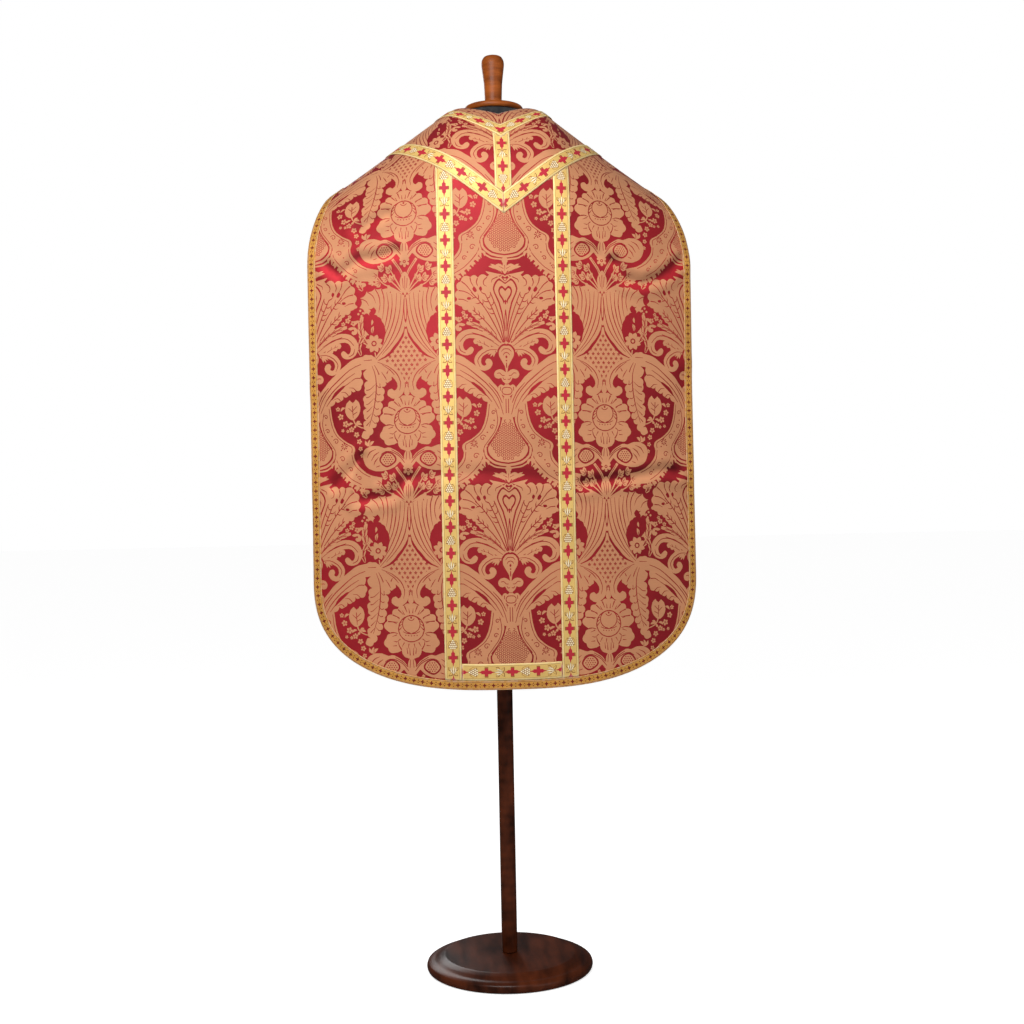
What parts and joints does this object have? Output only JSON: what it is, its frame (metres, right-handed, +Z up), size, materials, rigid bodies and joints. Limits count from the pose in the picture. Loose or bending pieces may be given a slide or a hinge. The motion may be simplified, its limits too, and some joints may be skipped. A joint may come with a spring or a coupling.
{
  "type": "roman chasuble on a limbless dress form with a round-based stand",
  "caption": "Sleeveless damask vestment with galloon trims, hung from the shoulders of a limbless dress form on a pole stand.",
  "frame": {"origin": "centre of the stand base's underside, on the floor", "axes": "+Z up, the garment's front faces -Y, the wearer's left is +X"},
  "size_m": [0.7136, 0.3386, 1.7573],
  "materials": {
    "damask": "crimson satin damask with an old-gold figure",
    "galloon": "woven gold galloon with red crosses, leaves and grapes",
    "edging": "narrow orange-gold galloon with small dark red crosses",
    "jersey": "matt black knitted cover",
    "warm_wood": "warm brown turned wood, varnished",
    "dark_wood": "dark brown turned wood, varnished"
  },
  "bodies": {
    "root": {"stand_base": "dark_wood", "stand_pole": "dark_wood", "form_torso": "jersey", "neck_cap": "warm_wood", "neck_finial": "warm_wood", "front_panel": "damask", "back_panel": "damask", "v_galloon_left": "galloon", "v_galloon_right": "galloon", "centre_galloon": "galloon", "column_galloon_left": "galloon", "column_galloon_right": "galloon", "bottom_galloon": "galloon", "neck_galloon_front": "galloon", "neck_galloon_back": "galloon", "edge_galloon_front": "edging", "edge_galloon_back": "edging"}
  },
  "joints": []
}
